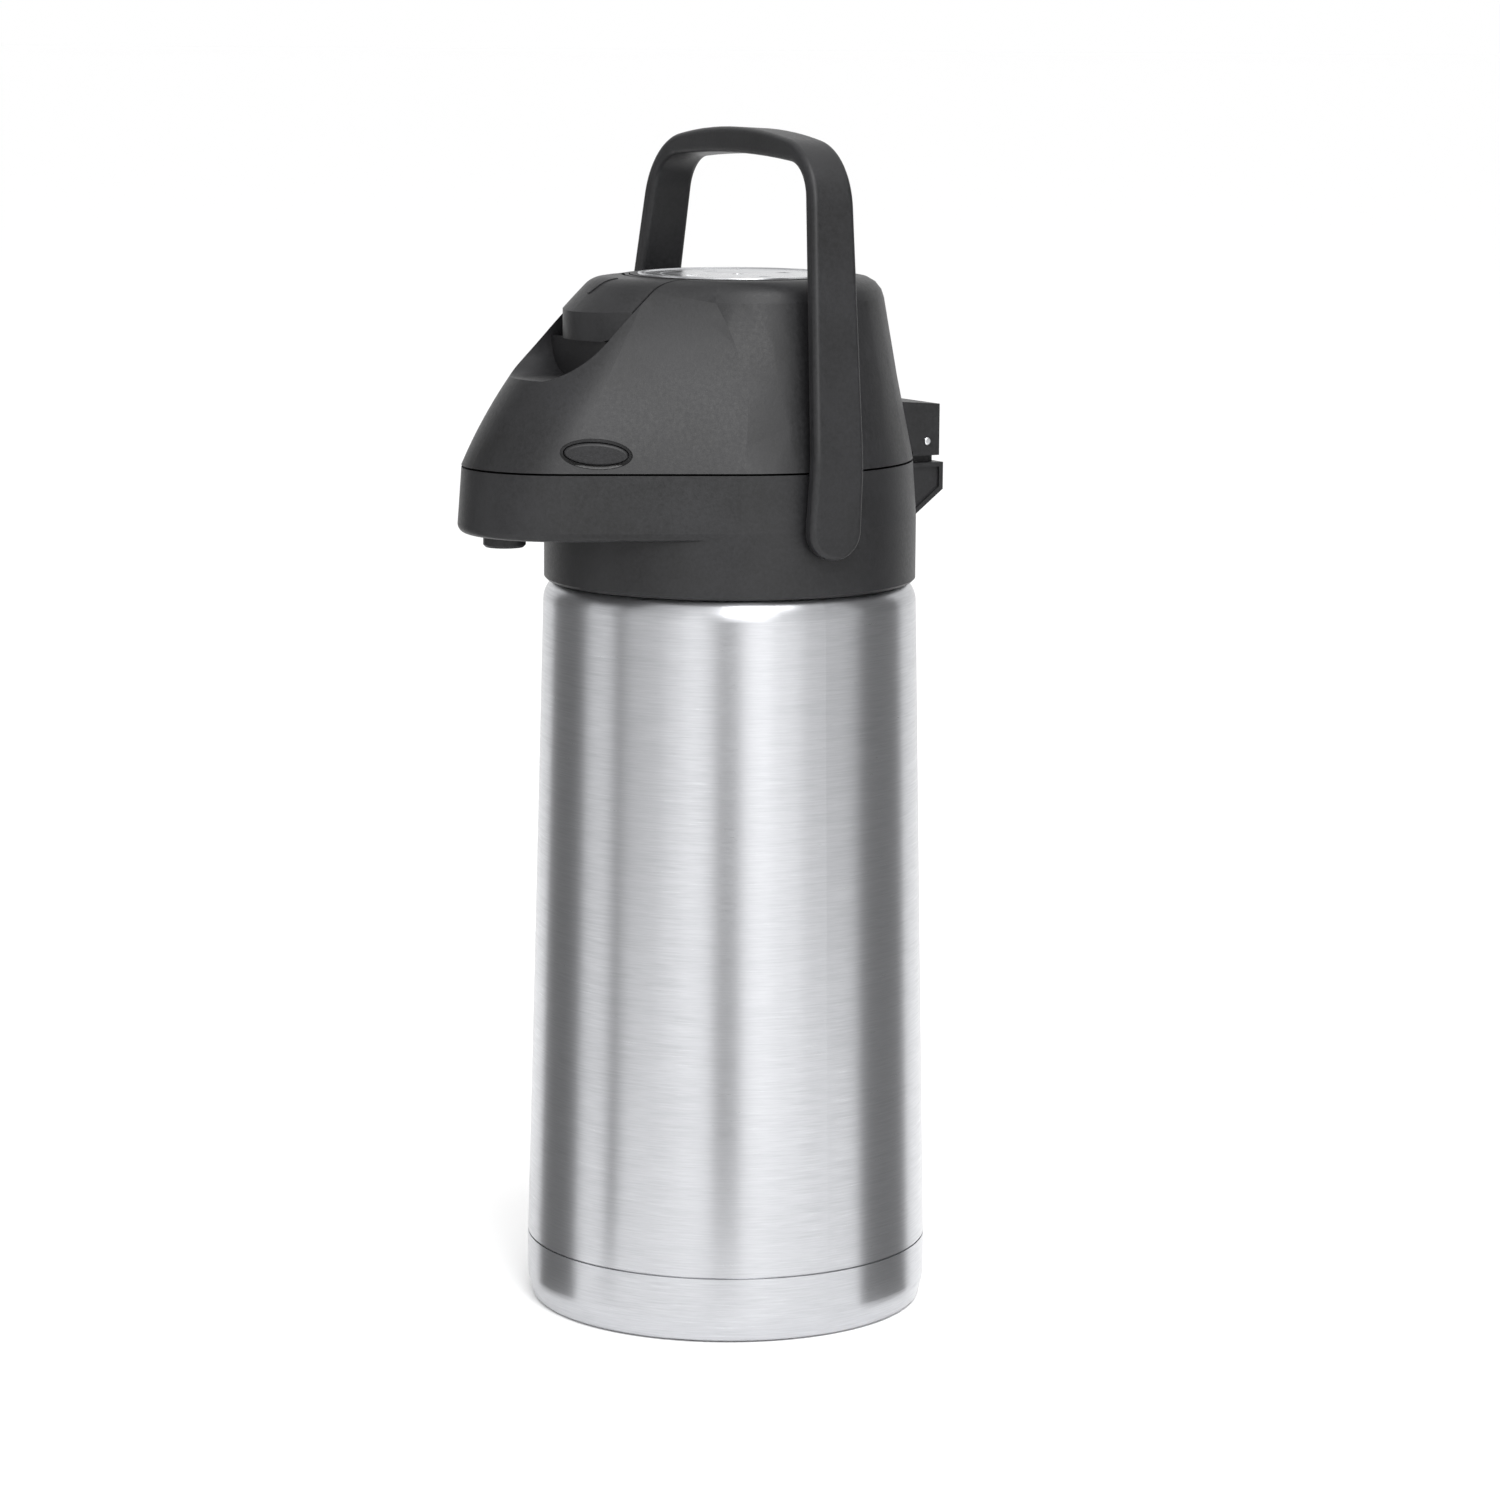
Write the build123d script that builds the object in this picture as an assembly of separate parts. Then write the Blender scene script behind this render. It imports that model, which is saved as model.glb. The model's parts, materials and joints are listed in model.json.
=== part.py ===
from build123d import *
import math
import os

# Thermal coffee airpot, millimetres. +Z is up, the spout points to -Y, the lid hinge is at +Y.
# The origin is the middle of the underside of the base.

# steel body
base_r = 70.0                       # body radius just above the groove
body_taper = 5.6                    # radius lost between the base and the shoulder
body_top_r = base_r - body_taper
base_foot_r = base_r - 2.4          # radius that the rounded base edge stands on
base_cup_h = 22.8                   # top edge of the base cup
base_cup_round = 12.0
base_plate_t = 2.6
groove_h = 0.6                      # dark gap between the cup and the shell
shoulder_z = 256.0                  # flat top of the steel shoulder
shoulder_round = 9.0
shell_wall = 0.8
vessel_wall = 0.6
vessel_space = 9.0                  # from the outer wall to the inner vessel at the bottom
vessel_top_space = 6.6              # and below the shoulder
vessel_r = base_r - vessel_space
vessel_top_r = body_top_r - vessel_top_space
vessel_floor_z = base_cup_h + 7.2
vessel_low_round = 14.0
vessel_high_round = 12.0
vessel_slope_h = 8.0                # height of the slope from the wall up to the neck
neck_r = 33.0                       # bore of the mouth
neck_gap = 0.8                      # vacuum gap between the two steel necks
neck_h = 8.0                        # neck height above the shoulder

# plastic collar with the lower half of the spout
plastic_wall = 2.2
collar_lap = 1.6                    # how far the collar comes down over the shoulder round
collar_wall = 2.4
collar_bottom_z = shoulder_z - collar_lap
collar_r = body_top_r - 0.1
collar_edge = 1.0                   # chamfer at the collar's lower edge
spout_rise = 17.8                   # from the shoulder to the spout's underside
spout_z = shoulder_z + spout_rise
seam_z = spout_z + 22.2             # top edge of the collar
seam_gap = 0.7                      # gap between collar and lid
skirt_taper = 4.0                   # degrees, above the spout's underside
spout_reach = 67.0                  # from the body axis to the middle of the nose round
nose_narrowing = 30.1               # how much smaller the nose round is than the back round
nose_r = collar_r - nose_narrowing
spout_edge_round = 3.0

# lid dome: middle and top sections, each drawn in from the collar's outline
lid_z = seam_z + seam_gap
dome_h = 62.4                       # from the lid's lower edge to its flat top
lid_top_z = lid_z + dome_h
dome_mid_h = 31.4                   # height of the middle section
dome_mid_r = collar_r - 9.5
dome_mid_y = 2.2                    # middle of the back round
dome_mid_nose_r = nose_r - 2.8
dome_mid_reach = spout_reach - 18.4
dome_top_r = collar_r - 16.8
dome_top_y = 4.4
dome_top_nose_r = nose_r - 5.2
dome_top_reach = spout_reach - 46.0
dome_edge_round = 9.0

# press cap in the dome's top
press_y = 2.5
press_border = 10.5                 # width of the dome's flat border and edge round
press_r = dome_top_r - press_border
press_gap = 0.5
press_wall = 2.0
press_rim = 2.5                     # cap rim outside the bright plate
press_plate_r = press_r - press_rim
press_plate_t = 1.2
press_proud = 0.4                   # how far the plate stands above the cap's rim
press_skirt_h = 20.0
press_floor_drop = 5.0              # from the dome's top to the underside of the cap's floor
press_hole_r = 2.0                  # air inlet
sleeve_wall = 2.0
sleeve_h = 13.0

# latch tab and the finger well below it
tab_w = 44.0
tab_len = 24.3
tab_gap = 0.5
tab_rear_gap = 1.2
tab_nose_r = 27.5
tab_rear_r = press_r + 3.1           # the tab's rear edge follows the press cap
tab_rear_y = press_y - tab_rear_r
tab_front_y = tab_rear_y - tab_len
tab_under_z = lid_top_z - 20.5
tab_rear_under_z = lid_top_z - 9.2
tab_pin_y = tab_rear_y - 2.9
tab_pin_z = lid_top_z - 6.8
well_floor_z = lid_top_z - 33.2
well_floor_w = 42.0
well_round = 12.0
well_back_y = tab_front_y + 3.9
leg_x = 12.5                        # middle of each latch leg
leg_w = 5.0
leg_t = 2.5
leg_y = tab_rear_y - 10.6
leg_bottom_z = seam_z - 7.0
tooth_gap = 0.9                     # between the leg's tooth and the keeper's
keeper_wall = 2.4
keeper_tooth = 1.6
small_pin_r = 1.5
small_pin_lap = 1.2                 # how far the latch pin goes into the dome on each side

# side buttons
button_len = 24.2
button_h = 10.1
button_rim = 1.1                    # width of the sunk rim round each button
button_sink = 2.0                   # depth of that rim
button_gap = 0.3
button_proud = 0.2
button_edge_round = 0.9
button_depth = 8.0
button_guide_wall = 1.5
button_z = seam_z + 7.1
button_along = spout_reach + 11.4   # from the body axis along the spout's flank
button_tilt = 3.0                   # degrees, front end higher

# rear hinge
hinge_y = collar_r + 7.3
hinge_z = seam_z + 4.0
hinge_pin_r = 1.5
hinge_half_w = 14.0
hinge_pin_proud = 0.4
cheek_t = 4.0
knuckle_r = 4.6
cheek_low_z = hinge_z - 5.0
cheek_top_z = hinge_z + 14.5
cheek_rear_y = hinge_y + 4.9
cheek_front_y = hinge_y - 15.0      # inside the dome's wall
roof_t = 3.0
roof_fall = 1.5                     # how much lower the roof is at its rear edge
bracket_rear_y = hinge_y + 6.6
bracket_front_y = collar_r - 3.5    # inside the collar's wall
bracket_top_z = seam_z - 3.5
bracket_low_z = seam_z - 23.5
bracket_bend_z = seam_z - 13.0
bracket_rim = 1.6                   # raised rim round each sunk side of the bracket
bracket_sink = 0.9

# bail handle
pivot_z = spout_z + 3.7
arm_clear = 1.7                     # from the collar to the arm
arm_inner_x = collar_r + arm_clear
arm_t = 5.6
arm_w = 15.4                        # at the crossbar
arm_end_r = 9.9
arm_knee_z = pivot_z + 22.5
arm_knee_round = 60.0
bail_inner_top_x = arm_inner_x - 15.8
bail_outer_top_x = arm_inner_x - 10.4
bail_inner_top_z = pivot_z + 120.0
bail_outer_top_z = pivot_z + 124.5
bail_arch = 3.0                     # extra height in the middle of the crossbar's underside
bail_top_arch = 7.3                 # and of its top
bail_inner_round = 14.0
bail_outer_round = 26.0
bail_edge_round = 2.0
bail_lean = 3.0                     # degrees, backwards
stud_r = 5.0
stud_flange = 2.0
stud_flange_t = 1.8
stud_seat_x = collar_r - 4.5        # inside face of the collar's stud bosses
stud_boss_wall = 3.0
bush_wall = 2.5
bush_r = stud_r + bush_wall
arm_skin = 1.6                      # plastic left outside the bush

# liquid path
tube_r = 4.0
tube_wall = 1.0
tube_bore = tube_r - tube_wall
tube_y = 7.0 - neck_r
tube_foot_z = vessel_floor_z + 6.0
foot_wall = 1.4
pipe_z = seam_z - 8.0
pipe_bend = 8.0
nozzle_y = -spout_reach - 20.6
nozzle_r = tube_r + 3.2
nozzle_bore = tube_r + 1.6
nozzle_flange = 2.2
nozzle_flange_t = 1.6
nozzle_roof_t = 3.0
nozzle_bottom_z = spout_z - 4.0
nozzle_top_z = spout_z + 6.2
sleeve_z = shoulder_z + 14.0        # rubber sleeve on the tube joint
rubber_sleeve_h = 6.0
rubber_sleeve_wall = 1.8
joint_z = sleeve_z + rubber_sleeve_h / 2

# neck nut and insert
nut_wall = 4.5
nut_lip_r = neck_r - 0.8
nut_lip_t = 2.4
nut_grooves = 12
gasket_t = 0.8
flange_t = 2.2
chimney_wall = 2.0
collar_floor_t = 3.0

# lid inside
lid_plate_t = 2.2
lid_plate_sink = 0.4
boss_r = 15.0
boss_bore = 11.0
boss_low_z = seam_z - 13.6
flap_ledge = 4.0                    # width of the ledge that the outlet flap lies on
flap_t = 1.2
seal_h = 2.4
seal_gap = 0.3
screw_x = collar_r - 18.3           # rear pair; the front pair is nearer by screw_step
screw_step = 3.0
screw_rear_y = 27.0
screw_front_y = -24.0
screw_boss_r = 3.5
screw_head_r = 3.0
screw_head_t = 1.4
screw_len = 8.0                     # above the plate
bellows_r = press_r - 6.0
bellows_fold = 4.5                  # depth of a fold
bellows_root_r = bellows_r - bellows_fold
bellows_wall = 1.2
bellows_folds = 6
bellows_foot = 3.0                  # width of the foot below the clamp ring
clamp_t = 1.0
spring_r = boss_bore + 4.0
spring_wire = 1.4

# fits
fit_running = 0.05                  # radial, shaft in hole
fit_press = 0.02                    # radial, piece pressed into its seat
fit_sheet = 0.1                     # radial, thin steel pieces nested in each other
fit_free = 0.3                      # gap round a piece that moves or drops in

parts = {}


def turned(*points):
    """Solid of revolution about Z through (radius, height) points."""
    return revolve(Plane.XZ * make_face(Polyline(*points, close=True)), Axis.Z)


def disc(radius, low, high, x=0.0, y=0.0):
    return Pos(x, y, (low + high) / 2) * Cylinder(radius, high - low)


def ring(outer, inner, low, high, x=0.0, y=0.0):
    return disc(outer, low, high, x, y) - disc(inner, low - 1, high + 1, x, y)


def block(low, high):
    size = [b - a for a, b in zip(low, high)]
    middle = [(a + b) / 2 for a, b in zip(low, high)]
    return Pos(*middle) * Box(*size)


def rod_x(radius, start, end, y, z):
    """Round bar along X."""
    return Pos((start + end) / 2, y, z) * Rot(0, 90, 0) * Cylinder(radius, abs(end - start))


def slab_x(points, half_width, middle=0.0):
    """Prism along X with a (y, z) outline."""
    outline = make_face(Polyline(*[(0, y, z) for y, z in points], close=True))
    return extrude(outline, half_width, dir=(1, 0, 0), both=True).moved(Pos(middle, 0, 0))


def drop(round_r, reach, nose, back_y=0.0):
    """Plan outline of the head: a round back and a round nose joined by two tangent lines."""
    lean = math.asin((round_r - nose) / (reach + back_y))
    turn = math.degrees(lean)
    side = (round_r * math.cos(lean), back_y - round_r * math.sin(lean))
    tip = (nose * math.cos(lean), -reach - nose * math.sin(lean))
    back_right = CenterArc((0, back_y), round_r, -turn, 90 + turn)
    back_left = CenterArc((0, back_y), round_r, 90, 90 + turn)
    left = Line((-side[0], side[1]), (-tip[0], tip[1]))
    front_left = CenterArc((0, -reach), nose, 180 + turn, 90 - turn)
    front_right = CenterArc((0, -reach), nose, 270, 90 - turn)
    right = Line(tip, side)
    return make_face([back_right, back_left, left, front_left, front_right, right])


# ---------------------------------------------------------------- steel body
shell_foot_z = base_cup_h + groove_h
neck_out_r = neck_r + vessel_wall + neck_gap + shell_wall
neck_top_z = shoulder_z + neck_h
lip_z = neck_top_z - vessel_wall


def steel_shell():
    """Tapered outer wall, rounded shoulder and outer neck."""
    outside = turned((0, shell_foot_z), (base_r, shell_foot_z), (body_top_r, shoulder_z), (0, shoulder_z))
    outside = fillet(outside.edges().group_by(Axis.Z)[-1], shoulder_round)
    inside = turned((0, shell_foot_z), (base_r - shell_wall, shell_foot_z),
                    (body_top_r - shell_wall, shoulder_z - shell_wall), (0, shoulder_z - shell_wall))
    inside = fillet(inside.edges().group_by(Axis.Z)[-1], shoulder_round - shell_wall)
    wall = outside - inside + disc(neck_out_r, shoulder_z - shell_wall, lip_z)
    return wall - disc(neck_out_r - shell_wall, shoulder_z - 5, lip_z + 1)


def vessel_form(inset):
    """Inner vessel's outside form, drawn in by inset."""
    low = vessel_floor_z + inset
    slope_z = shoulder_z - shell_wall - neck_gap - inset
    form = turned((0, low), (vessel_r - inset, low), (vessel_top_r - inset, slope_z - vessel_slope_h),
                  (neck_r + vessel_wall - inset, slope_z), (0, slope_z))
    edges = form.edges().filter_by(GeomType.CIRCLE).sort_by(Axis.Z)
    form = fillet(edges[0], vessel_low_round - inset)
    knee_z = slope_z - vessel_slope_h
    knee = [e for e in form.edges().filter_by(GeomType.CIRCLE) if abs(e.center().Z - knee_z) < 0.1]
    return fillet(knee, vessel_high_round - inset)


cup_foot_z = 0.4                    # the cup's edge stays this far above the counter
cup_side_z = 8.0                    # where the cup's side starts
cup_lip = 4.2                       # width of the cup's turned-in lower edge
spigot_t = 1.0
spigot_h = 3.0
parts["base_plate"] = disc(base_foot_r - 2.0, 0, base_plate_t)
cup = turned((0, cup_foot_z), (base_foot_r + 0.6, cup_foot_z), (base_r, cup_side_z),
             (base_r, base_cup_h), (0, base_cup_h))
cup = fillet(cup.edges().filter_by(GeomType.CIRCLE).group_by(Axis.Z)[1], base_cup_round)
cup = fillet(cup.edges().filter_by(GeomType.CIRCLE).group_by(Axis.Z)[0], 2 * shell_wall)
cup -= disc(base_r - cup_lip, -1, base_cup_h + 1)
cup_inner_r = base_r - shell_wall
cup -= turned((0, cup_side_z / 2), (base_r - cup_lip + shell_wall, cup_side_z / 2),
              (cup_inner_r, cup_side_z + 1), (cup_inner_r, base_cup_h + 1), (0, base_cup_h + 1))
spigot_r = cup_inner_r - fit_sheet
cup += ring(base_r - 0.5, spigot_r - spigot_t, base_cup_h - 2.5, base_cup_h)
cup += ring(spigot_r, spigot_r - spigot_t, base_cup_h - 1, shell_foot_z + spigot_h)
parts["base_cup"] = cup
parts["outer_shell"] = steel_shell()
vessel = vessel_form(0) - vessel_form(vessel_wall)
vessel -= disc(neck_r, shoulder_z - 6, shoulder_z + 1)
vessel += ring(neck_r + vessel_wall, neck_r, shoulder_z - 2.4, neck_top_z)
vessel += ring(neck_out_r, neck_r, lip_z, neck_top_z)
vessel_floor_r = vessel_r - vessel_low_round
vessel_floor = disc(vessel_floor_r, vessel_floor_z, vessel_floor_z + vessel_wall)
parts["inner_vessel"] = vessel - disc(vessel_floor_r, vessel_floor_z - 1, vessel_floor_z + 1)
parts["vessel_floor"] = vessel_floor
shell_floor_z = shell_foot_z + spigot_h + 0.2
shell_floor_top_z = shell_floor_z + shell_wall + 0.2
shell_floor_r = cup_inner_r - 1.5 * fit_sheet
parts["outer_bottom"] = disc(shell_floor_r, shell_floor_z, shell_floor_top_z)
getter_r = 6.0
parts["getter"] = disc(getter_r, shell_floor_top_z, shell_floor_top_z + 1.4, vessel_r / 2)


# ---------------------------------------------------------------- collar
floor_z = shoulder_z + 0.6          # the collar's floor lies on its gasket
floor_top_z = floor_z + collar_floor_t
skirt_h = seam_z - spout_z - spout_edge_round
seam_shrink = skirt_h * math.tan(math.radians(skirt_taper))
seam_r = collar_r - seam_shrink
seam_nose_r = nose_r - seam_shrink


def spout_form(inset):
    """Lower half of the head: straight up to the edge round, then tapered to the seam."""
    start_z = spout_z + spout_edge_round
    low_z = spout_z + inset
    outline = drop(collar_r - inset, spout_reach, nose_r - inset)
    low = extrude(Pos(0, 0, low_z) * outline, start_z - low_z)
    if inset == 0:
        low = fillet(low.edges().group_by(Axis.Z)[0], spout_edge_round - 0.05)
    high = extrude(Pos(0, 0, start_z) * outline, skirt_h, taper=skirt_taper)
    return low + high


collar = disc(collar_r, collar_bottom_z, spout_z + spout_edge_round)
collar = chamfer(collar.edges().group_by(Axis.Z)[0], collar_edge)
collar += spout_form(0)
collar -= disc(collar_r - collar_wall, collar_bottom_z - 1, floor_z)
collar -= disc(collar_r - plastic_wall, floor_top_z, spout_z + spout_edge_round)
collar -= spout_form(plastic_wall)
collar -= disc(neck_out_r + 0.4, floor_z - 1, floor_top_z + 1)
collar -= disc(nozzle_r + fit_press, spout_z - 1, spout_z + 5, 0, nozzle_y)

bracket_shape = [(bracket_front_y, bracket_low_z), (collar_r, bracket_low_z),
                 (bracket_rear_y, bracket_bend_z), (bracket_rear_y, bracket_top_z),
                 (bracket_front_y, bracket_top_z)]
bracket = slab_x(bracket_shape, hinge_half_w)
sunk_front_y = collar_r + 1.2
sunk_rear_y = bracket_rear_y - bracket_rim
sunk_shape = [(sunk_front_y, bracket_low_z + 2.8), (sunk_rear_y, bracket_bend_z + 0.9),
              (sunk_rear_y, bracket_top_z - bracket_rim), (sunk_front_y, bracket_top_z - bracket_rim)]
sunk_side = slab_x(sunk_shape, bracket_sink)
ear_half_w = hinge_half_w - cheek_t - fit_free
ear_low = (-ear_half_w, hinge_y - knuckle_r, bracket_top_z - 1)
bracket += rod_x(knuckle_r, -ear_half_w, ear_half_w, hinge_y, hinge_z)
bracket += block(ear_low, (ear_half_w, hinge_y + knuckle_r, hinge_z))
for side in (-1, 1):
    bracket -= Pos(side * hinge_half_w, 0, 0) * sunk_side
    collar += rod_x(stud_r + stud_boss_wall, side * stud_seat_x, side * (collar_r - 1), 0, pivot_z)
collar += bracket - disc(collar_r - 1.0, bracket_low_z - 1, hinge_z + 9)
collar -= rod_x(hinge_pin_r, -hinge_half_w, hinge_half_w, hinge_y, hinge_z)
collar -= rod_x(stud_r, -collar_r - 5, collar_r + 5, 0, pivot_z)
parts["collar"] = collar
collar_gasket_r = body_top_r - 11.4
parts["collar_gasket"] = ring(collar_gasket_r, collar_gasket_r - 5.0, shoulder_z, floor_z)
pin_end = hinge_half_w + hinge_pin_proud
parts["hinge_pin"] = rod_x(hinge_pin_r, -pin_end, pin_end, hinge_y, hinge_z)

nut_out_r = neck_out_r + nut_wall
gasket_top_z = neck_top_z + gasket_t
flange_top_z = gasket_top_z + flange_t
nut_top_z = flange_top_z + nut_lip_t
nut = ring(nut_out_r, neck_out_r, floor_top_z, nut_top_z)
nut += ring(nut_out_r, nut_lip_r, flange_top_z, nut_top_z)
groove = block((nut_out_r - 1.4, -2, floor_top_z + 1), (nut_out_r + 1, 2, nut_top_z + 1))
for step in range(nut_grooves):
    nut -= Rot(0, 0, 360 / nut_grooves * step) * groove
parts["neck_nut"] = nut
parts["neck_gasket"] = ring(neck_out_r - 0.2, neck_r, neck_top_z, gasket_top_z)

chimney_r = boss_r + chimney_wall
seat_z = boss_low_z - seal_h - seal_gap
insert_low_z = shoulder_z - 3.0
insert = disc(neck_r - fit_free, insert_low_z, gasket_top_z)
insert += disc(neck_out_r - 0.2, gasket_top_z, flange_top_z)
insert += disc(chimney_r, gasket_top_z, seat_z)
insert -= disc(boss_bore, insert_low_z - 1, seat_z + 1)
insert -= disc(tube_r, insert_low_z - 1, seat_z + 1, 0, tube_y)
parts["neck_insert"] = insert

parts["dip_tube"] = ring(tube_r, tube_bore, tube_foot_z, joint_z, 0, tube_y)
foot_low_z = tube_foot_z - 1.6
foot = ring(tube_r + foot_wall, tube_r, foot_low_z, tube_foot_z + 8, 0, tube_y)
for turn in (0, 90):
    foot -= Pos(0, tube_y, foot_low_z + 1.0) * Rot(0, 0, turn) * Box(3 * tube_r, 2.0, 2.0)
parts["dip_tube_foot"] = foot
rubber_r = tube_r + rubber_sleeve_wall
parts["tube_sleeve"] = ring(rubber_r, tube_r, sleeve_z, sleeve_z + rubber_sleeve_h, 0, tube_y)

pipe_line = FilletPolyline((0, tube_y, joint_z), (0, tube_y, pipe_z), (0, nozzle_y, pipe_z),
                           (0, nozzle_y, nozzle_top_z - nozzle_roof_t), radius=pipe_bend)
pipe_end = Plane(origin=(0, tube_y, joint_z))
pipe = sweep(pipe_end * Circle(tube_r), path=pipe_line)
pipe -= sweep(pipe_end * Circle(tube_bore), path=pipe_line)
parts["outlet_pipe"] = pipe
spout_floor_z = spout_z + plastic_wall
nozzle = disc(nozzle_r, nozzle_bottom_z, nozzle_top_z, 0, nozzle_y)
nozzle += disc(nozzle_r + nozzle_flange, spout_floor_z, spout_floor_z + nozzle_flange_t, 0, nozzle_y)
nozzle -= disc(nozzle_bore, nozzle_bottom_z - 1, nozzle_top_z - nozzle_roof_t, 0, nozzle_y)
nozzle -= disc(tube_r, nozzle_bottom_z, nozzle_top_z + 1, 0, nozzle_y)
nozzle = chamfer(nozzle.edges().group_by(Axis.Z)[0].sort_by(SortBy.RADIUS)[-1], 0.8)
parts["nozzle"] = nozzle

keeper_y = leg_y + 8.0
keeper_top_z = seam_z - 1.0
keeper_end_x = leg_x + leg_w / 2
keeper = block((-keeper_end_x, keeper_y - 2, floor_top_z), (keeper_end_x, keeper_y + 5, floor_top_z + 2))
for side in (-1, 1):
    near_x = side * leg_x - leg_w / 2
    far_x = side * leg_x + leg_w / 2
    keeper += block((near_x, keeper_y, floor_top_z), (far_x, keeper_y + keeper_wall, keeper_top_z))
    keeper += block((near_x, keeper_y - keeper_tooth, keeper_top_z - 2), (far_x, keeper_y + 1, keeper_top_z))
parts["latch_keeper"] = keeper - disc(nut_out_r + 0.2, floor_top_z - 1, nut_top_z + 1)


# ---------------------------------------------------------------- lid
def dome_form(inset, cut_top=0.0):
    """Outside form of the dome drawn in by inset; three plan outlines lofted upwards."""
    low = Pos(0, 0, lid_z) * drop(seam_r - inset, spout_reach, seam_nose_r - inset)
    middle = drop(dome_mid_r - inset, dome_mid_reach, dome_mid_nose_r - inset, dome_mid_y)
    middle = Pos(0, 0, lid_z + dome_mid_h) * middle
    high = drop(dome_top_r - inset, dome_top_reach, dome_top_nose_r - inset, dome_top_y)
    high = Pos(0, 0, lid_top_z) * high
    form = loft([low, middle, high])
    if cut_top > 0:
        form -= block((-90, -130, lid_top_z - cut_top), (90, 90, lid_top_z + 1))
    edges = form.edges().group_by(Axis.Z)[-1]
    return fillet(edges, dome_edge_round - 0.6 * inset)


def between_z(form, low_z, high_z):
    return form & block((-150, -150, low_z), (150, 150, high_z))


def well_form(grow, front_y, back_y):
    """Finger well under the tab: flat top, sides drawn in towards a rounded floor."""
    half_top = tab_w / 2 + tab_gap + grow
    half_low = well_floor_w / 2 + grow
    low = well_floor_z - grow
    corners = [(-half_top, tab_rear_under_z), (-half_top, tab_under_z), (-half_low, low),
               (half_low, low), (half_top, tab_under_z), (half_top, tab_rear_under_z)]
    face = make_face(Polyline(*corners, close=True))
    face = fillet(face.vertices().group_by(Axis.Y)[0], well_round + grow)
    return extrude(Plane.XZ.offset(-back_y) * face, back_y - front_y)


dome_out = dome_form(0)
dome_in = dome_form(plastic_wall, plastic_wall)
dome = dome_out - dome_in

# guide sleeve round the press cap
opening_r = press_r + press_gap
sleeve = disc(opening_r + sleeve_wall, lid_top_z - sleeve_h, lid_top_z - 1, 0, press_y)
dome += sleeve & dome_in
dome -= disc(opening_r, lid_top_z - sleeve_h - 1, lid_top_z + 1, 0, press_y)

# finger well and the slot that the tab lies in
tip_y = -spout_reach - nose_r - 1
liner = well_form(plastic_wall, tip_y, well_back_y + plastic_wall) & dome_in
dome += between_z(liner, 0, tab_under_z)
dome -= between_z(well_form(0, tip_y, well_back_y), 0, tab_under_z + 0.01)
slot_half_w = tab_w / 2 + tab_gap
for side in (-1, 1):
    rib_x = side * (slot_half_w + 2)
    rib = block((rib_x - 2, well_back_y - 8, tab_under_z - 4), (rib_x + 2, tab_rear_y + tab_gap, lid_top_z))
    dome += rib & dome_in
slot = block((-slot_half_w, tip_y, tab_under_z), (slot_half_w, press_y - slot_half_w, lid_top_z + 1))
dome -= slot - disc(tab_rear_r - tab_rear_gap, 0, lid_top_z + 2, 0, press_y)
latch_pin_end = slot_half_w + small_pin_lap
dome -= rod_x(small_pin_r, -latch_pin_end - 0.2, latch_pin_end + 0.2, tab_pin_y, tab_pin_z)

# screw bosses
plate_low_z = lid_z + lid_plate_sink
plate_top_z = plate_low_z + lid_plate_t
screw_places = []
for side in (-1, 1):
    screw_places.append((side * screw_x, screw_rear_y))
    screw_places.append((side * (screw_x - screw_step), screw_front_y))
for x, y in screw_places:
    dome += disc(screw_boss_r, plate_top_z, lid_top_z - 4, x, y) & dome_in
    dome -= disc(small_pin_r, plate_top_z - 1, plate_top_z + screw_len + 1, x, y)

# hinge cheeks
cheek_step_y = hinge_y - 6.0        # the cheeks hang below the lid's edge behind this
cheek_shape = [(cheek_front_y, lid_z), (cheek_step_y, lid_z), (cheek_step_y, cheek_low_z),
               (cheek_rear_y, cheek_low_z), (cheek_rear_y, cheek_top_z - roof_fall),
               (cheek_front_y, cheek_top_z)]
for side in (-1, 1):
    dome += slab_x(cheek_shape, cheek_t / 2, side * (hinge_half_w - cheek_t / 2)) - dome_in
roof_shape = [(cheek_front_y, cheek_top_z - roof_t), (cheek_rear_y, cheek_top_z - roof_t - 1.0),
              (cheek_rear_y, cheek_top_z - roof_fall), (cheek_front_y, cheek_top_z)]
dome += slab_x(roof_shape, hinge_half_w) - dome_in
dome -= rod_x(hinge_pin_r + fit_running, -hinge_half_w - 1, hinge_half_w + 1, hinge_y, hinge_z)

# side buttons
flank = math.asin((seam_r - seam_nose_r) / spout_reach)
flank_x = seam_r - 1.0
button_across = math.sqrt(button_along ** 2 - flank_x ** 2)


def on_flank(side, shape):
    """Carry a shape built about +X at the origin to the button's place on the spout's flank."""
    turn = math.degrees(flank)
    if side > 0:
        return Rot(0, 0, -turn) * Pos(0, -button_across, button_z) * Rot(-button_tilt, 0, 0) * shape
    return Rot(0, 0, 180 + turn) * Pos(0, button_across, button_z) * Rot(button_tilt, 0, 0) * shape


def oval_x(length, height, start, end):
    """Elliptic bar along +X."""
    face = Plane.YZ.offset(start) * Ellipse(length / 2, height / 2)
    return extrude(face, end - start)


for side in (-1, 1):
    guide_wall = 2 * button_guide_wall
    guide = oval_x(button_len + guide_wall, button_h + guide_wall, flank_x - button_depth + 0.5, flank_x)
    dome += between_z(on_flank(side, guide) & dome_in, plate_top_z, lid_top_z)
    dome -= on_flank(side, oval_x(button_len, button_h, flank_x - button_sink, flank_x + 5))
    inner = oval_x(button_len - 2 * button_rim, button_h - 2 * button_rim, flank_x - 12, flank_x)
    dome -= between_z(on_flank(side, inner), lid_z, lid_top_z)
parts["lid_dome"] = dome

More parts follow.
